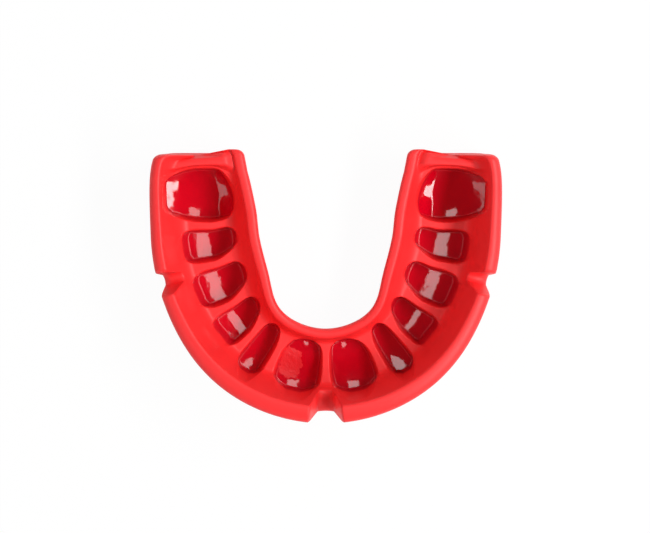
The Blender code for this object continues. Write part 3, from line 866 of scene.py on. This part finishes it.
def loft_mesh(name, points, polish):
    """Builds the tray's skin from rings of points and closes the two rear faces."""
    rings, count = points.shape[:2]
    numbers = np.arange(rings * count).reshape(rings, count)
    near = numbers[:-1]
    far = numbers[1:]
    faces = np.stack([near, np.roll(near, -1, axis=1), np.roll(far, -1, axis=1), far], axis=-1)
    faces = faces.reshape(-1, 4).tolist()
    faces.append(numbers[0][::-1].tolist())
    faces.append(numbers[-1].tolist())
    mesh = bpy.data.meshes.new(name)
    mesh.from_pydata(points.reshape(-1, 3).tolist(), [], faces)
    mesh.shade_smooth()
    attribute = mesh.attributes.new("polish", "FLOAT", "POINT")
    attribute.data.foreach_set("value", polish.reshape(-1).astype(np.float32))
    mesh.update()
    return mesh


def link(name, mesh):
    """Adds a piece with this mesh to the scene."""
    piece = bpy.data.objects.new(name, mesh)
    bpy.context.scene.collection.objects.link(piece)
    return piece


def node(tree, kind, settings=None, **links):
    """Adds a node with its settings and links; a link is a value or another node's socket."""
    made = tree.nodes.new(kind)
    for name, value in (settings or {}).items():
        setattr(made, name, value)
    for name, value in links.items():
        socket = made.inputs[int(name[1:]) if name[1:].isdigit() else name.replace("_", " ")]
        if isinstance(value, bpy.types.NodeSocket):
            tree.links.new(value, socket)
        else:
            socket.default_value = value
    return made


def new_material(name):
    """A material with an empty node tree."""
    material = bpy.data.materials.new(name)
    material.use_nodes = True
    material.node_tree.nodes.clear()
    return material, material.node_tree


def per_metre(millimetres):
    """Scale of a pattern whose parts are this wide."""
    return 1000.0 / millimetres


def torn_patch(tree, place):
    """One where the skin of a central well came away with the mould, with a ragged edge, and 0 elsewhere."""
    scale = (per_metre(TORN_HALF_WIDTH), per_metre(TORN_HALF_LENGTH), 0.0)
    from_middle = node(tree, "ShaderNodeVectorMath", {"operation": "SUBTRACT"}, _0=place, _1=TORN_MIDDLE)
    sized = node(tree, "ShaderNodeVectorMath", {"operation": "MULTIPLY"}, _0=from_middle.outputs[0], _1=scale)
    reach = node(tree, "ShaderNodeVectorMath", {"operation": "LENGTH"}, _0=sized.outputs[0]).outputs["Value"]
    ragged = node(tree, "ShaderNodeTexNoise", Vector=place, Scale=per_metre(RAGGED_EDGE), Detail=3.0)
    uneven = node(tree, "ShaderNodeMath", {"operation": "ADD"}, _0=reach, _1=ragged.outputs["Fac"])
    limits = {"From_Min": TORN_OUTSIDE, "From_Max": TORN_INSIDE}
    return node(tree, "ShaderNodeMapRange", None, Value=uneven.outputs["Value"], **limits).outputs["Result"]


def rubber_bump(tree, place, polish, torn):
    """Blasted grain outside the wells, shallow sink waves in them and flakes on the torn patch."""
    dull = node(tree, "ShaderNodeMath", {"operation": "SUBTRACT"}, _0=1.0, _1=polish).outputs["Value"]
    layers = (
        (GRAIN, 2.0, GRAIN_DEPTH, dull),
        (SINK_WAVES, 1.0, SINK_DEPTH, polish),
        (FLAKES, 4.0, FLAKE_DEPTH, torn),
    )
    below = {}
    for width, detail, depth, strength in layers:
        pattern = node(tree, "ShaderNodeTexNoise", Vector=place, Scale=per_metre(width), Detail=detail)
        links = {"Height": pattern.outputs["Fac"], "Strength": strength, **below}
        bump = node(tree, "ShaderNodeBump", None, Distance=depth, **links)
        below = {"Normal": bump.outputs["Normal"]}
    return bump.outputs["Normal"]


def rubber_roughness(tree, place, look, polish, torn):
    """Satin that varies slightly, gloss in the wells and matte rubber on the torn patch."""
    mottle = node(tree, "ShaderNodeTexNoise", Vector=place, Scale=per_metre(MOTTLE), Detail=3.0)
    limits = {"To_Min": look.matte - MOTTLE_CHANGE, "To_Max": look.matte + MOTTLE_CHANGE}
    satin = node(tree, "ShaderNodeMapRange", None, Value=mottle.outputs["Fac"], **limits)
    glossy = node(tree, "ShaderNodeMapRange", None, Value=torn, To_Min=look.gloss, To_Max=look.torn)
    links = {"A": satin.outputs["Result"], "B": glossy.outputs["Result"]}
    return node(tree, "ShaderNodeMix", {"data_type": "FLOAT"}, _0=polish, **links).outputs[0]


def rubber_colour_and_painted_shade(tree, look, depth, torn):
    """The rubber's colour, with painted shade: a deeper red inside the wells, partly lifted again on the torn
    patch.
    """
    # depth is 1 inside the wells, where the painted shade is full; the torn patch takes part of it away.
    faded = node(tree, "ShaderNodeMath", {"operation": "MULTIPLY"}, _0=torn, _1=TORN_FADING)
    deep = node(tree, "ShaderNodeMath", {"operation": "SUBTRACT"}, _0=depth, _1=faded.outputs["Value"])
    colours = {"_6": linear_colour(look.colour), "_7": linear_colour(look.painted_shade_colour)}
    tone = node(tree, "ShaderNodeMix", {"data_type": "RGBA"}, _0=deep.outputs["Value"], **colours)
    return tone.outputs[2]


def moulded_eva(look):
    """Moulded EVA rubber, with an even colour all through; its wells are painted a deeper red as shade.

    The blasted parts of the steel mould leave a satin skin with soft, wide highlights. Its polished well
    cores leave glassy floors, in which the lamps show as clear bright patches.
    """
    material, tree = new_material("moulded_eva")
    place = node(tree, "ShaderNodeTexCoord").outputs["Object"]
    sunken = node(tree, "ShaderNodeAttribute", {"attribute_name": "polish"}).outputs["Fac"]
    polish = node(tree, "ShaderNodeMapRange", None, Value=sunken, From_Min=POLISH_START).outputs["Result"]
    # Mask of the painted shade: full on the walls and floors of the wells.
    depth = node(tree, "ShaderNodeMapRange", None, Value=sunken, From_Max=WALL_POLISH).outputs["Result"]
    torn = torn_patch(tree, place)
    limits = {"To_Min": look.satin_shine, "To_Max": look.well_shine}
    shine = node(tree, "ShaderNodeMapRange", None, Value=polish, **limits)
    links = {
        "Base_Color": rubber_colour_and_painted_shade(tree, look, depth, torn),
        "Roughness": rubber_roughness(tree, place, look, polish, torn),
        "Specular_IOR_Level": shine.outputs["Result"],
        "Normal": rubber_bump(tree, place, polish, torn),
    }
    shader = node(tree, "ShaderNodeBsdfPrincipled", None, IOR=look.refraction, **links)
    node(tree, "ShaderNodeOutputMaterial", None, Surface=shader.outputs["BSDF"])
    return material


class MOUTHGUARD_OT_mould_tray(bpy.types.Operator):
    """Moulds the tray with its flanges, wells, webs and notches"""

    bl_idname = "mouthguard.mould_tray"
    bl_label = "Mould the tray"

    def execute(self, context):
        scene = context.scene
        line = ToothLine(scene.mg_arch)
        rows = Rows(scene.mg_arch, scene.mg_wells, line)
        half, polish = tray_points(scene.mg_arch, scene.mg_flange, scene.mg_wells, line, rows)
        points, polish = whole_tray(half, polish)
        low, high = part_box(NODE)
        beside = np.abs(points[:, :, 0]) > scene.mg_flange.front_notch / 2
        depths = points[:, :, 1][beside]
        points[:, :, 1] += (low.y + high.y) / 2 - (depths.min() + depths.max()) / 2
        tray = link("moulded_tray", loft_mesh("moulded_tray", points, polish))
        tray.data.materials.append(moulded_eva(scene.mg_rubber))
        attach(tray, BODY)
        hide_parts(NODE)
        return {"FINISHED"}


def table_top():
    """White laminate table: nearly white of itself to the camera, with a faint shadow."""
    material, tree = new_material("white_laminate")
    seen = node(tree, "ShaderNodeLightPath").outputs["Is Camera Ray"]
    glow = node(tree, "ShaderNodeMath", {"operation": "MULTIPLY"}, _0=seen, _1=TABLE_GLOW)
    matte = node(tree, "ShaderNodeBsdfDiffuse", None, Color=linear_colour(TABLE_COLOUR))
    light = node(tree, "ShaderNodeEmission", None, Strength=1.0)
    sides = {"_1": matte.outputs[0], "_2": light.outputs[0]}
    both = node(tree, "ShaderNodeMixShader", None, _0=glow.outputs[0], **sides)
    node(tree, "ShaderNodeOutputMaterial", None, Surface=both.outputs[0])
    return material


def add_softbox(name, azimuth, elevation, distance, size, radiance):
    """A rectangular softbox aimed at the tray; radiance 1 is a plain white card."""
    turn, climb = math.radians(azimuth), math.radians(elevation)
    out = Vector((math.sin(turn) * math.cos(climb), math.cos(turn) * math.cos(climb), math.sin(climb)))
    lamp = bpy.data.lights.new(name, "AREA")
    lamp.shape = "RECTANGLE"
    lamp.size, lamp.size_y = size
    lamp.energy = radiance * math.pi * size[0] * size[1]
    piece = bpy.data.objects.new(name, lamp)
    piece.location = Vector(LIT_PLACE) + out * distance
    piece.rotation_euler = out.to_track_quat("Z", "Y").to_euler()
    bpy.context.scene.collection.objects.link(piece)


class MOUTHGUARD_OT_set_stage(bpy.types.Operator):
    """Lays the table and sets the softboxes and the camera"""

    bl_idname = "mouthguard.set_stage"
    bl_label = "Set the stage"

    def execute(self, context):
        settings = context.scene.mg_stage
        self.lay_table()
        self.light_room(context.scene)
        for name, placing in SOFTBOXES.items():
            add_softbox(name, *placing)
        self.place_camera(context.scene, settings)
        return {"FINISHED"}

    def lay_table(self):
        """A wide table top, a hair below the tray."""
        mesh = bpy.data.meshes.new("table_top")
        reach = TABLE_REACH
        corners = [(-reach, -reach, 0.0), (reach, -reach, 0.0), (reach, reach, 0.0), (-reach, reach, 0.0)]
        mesh.from_pydata(corners, [], [(0, 1, 2, 3)])
        table = link("table_top", mesh)
        table.location.z = CAD_BOX[0].z - TABLE_GAP
        mesh.materials.append(table_top())

    def light_room(self, scene):
        """A dim room that shows white to the camera."""
        world = bpy.data.worlds.new("pale_room")
        world.use_nodes = True
        tree = world.node_tree
        tree.nodes.clear()
        seen = node(tree, "ShaderNodeLightPath").outputs["Is Camera Ray"]
        away = node(tree, "ShaderNodeTexCoord").outputs["Generated"]
        upwards = node(tree, "ShaderNodeSeparateXYZ", None, Vector=away).outputs["Z"]
        limits = {"From_Min": WALLS_END, "From_Max": CEILING_START}
        limits.update(To_Min=WALL_LIGHT, To_Max=CEILING_LIGHT)
        room = node(tree, "ShaderNodeMapRange", None, Value=upwards, **limits).outputs["Result"]
        level = node(tree, "ShaderNodeMix", {"data_type": "FLOAT"}, _0=seen, A=room, B=1.0).outputs[0]
        air = node(tree, "ShaderNodeBackground", None, Color=linear_colour(ROOM_COLOUR), Strength=level)
        node(tree, "ShaderNodeOutputWorld", None, Surface=air.outputs[0])
        scene.world = world

    def place_camera(self, scene, settings):
        """Hangs the camera over the tray, leaning to the rear."""
        tilt = math.radians(settings.camera_tilt)
        aim = Vector((settings.aim_across, settings.aim_back, settings.aim_height))
        lens = bpy.data.cameras.new("table_camera")
        lens.sensor_width = SENSOR_WIDTH
        lens.lens = lens.sensor_width * settings.camera_distance / settings.view_width
        lens.clip_start, lens.clip_end = CLIPPING
        camera = bpy.data.objects.new("table_camera", lens)
        camera.location = aim + Vector((0.0, math.sin(tilt), math.cos(tilt))) * settings.camera_distance
        camera.rotation_euler = Euler((-tilt, 0.0, 0.0))
        scene.collection.objects.link(camera)
        scene.camera = camera


class MOUTHGUARD_PT_panel(bpy.types.Panel):
    """Lists the steps and the sizes"""

    bl_idname = "MOUTHGUARD_PT_panel"
    bl_label = "Mouthguard"
    bl_space_type = "VIEW_3D"
    bl_region_type = "UI"
    bl_category = "Mouthguard"

    def draw(self, context):
        for step in STEPS:
            self.layout.operator(step.bl_idname)
        for name, group in GROUPS.items():
            box = self.layout.box()
            box.label(text=group.__doc__)
            for field in group.__annotations__:
                box.prop(getattr(context.scene, name), field)


STEPS = (MOUTHGUARD_OT_mould_tray, MOUTHGUARD_OT_set_stage)
CLASSES = (*GROUPS.values(), *STEPS, MOUTHGUARD_PT_panel)


def register():
    for made in CLASSES:
        bpy.utils.register_class(made)
    for name, group in GROUPS.items():
        setattr(bpy.types.Scene, name, bpy.props.PointerProperty(type=group))


def unregister():
    for name in GROUPS:
        delattr(bpy.types.Scene, name)
    for made in reversed(CLASSES):
        bpy.utils.unregister_class(made)


def main():
    register()
    bpy.ops.mouthguard.mould_tray()
    bpy.ops.mouthguard.set_stage()
    bpy.context.scene.view_settings.view_transform = "Standard"


if __name__ == "__main__":
    main()
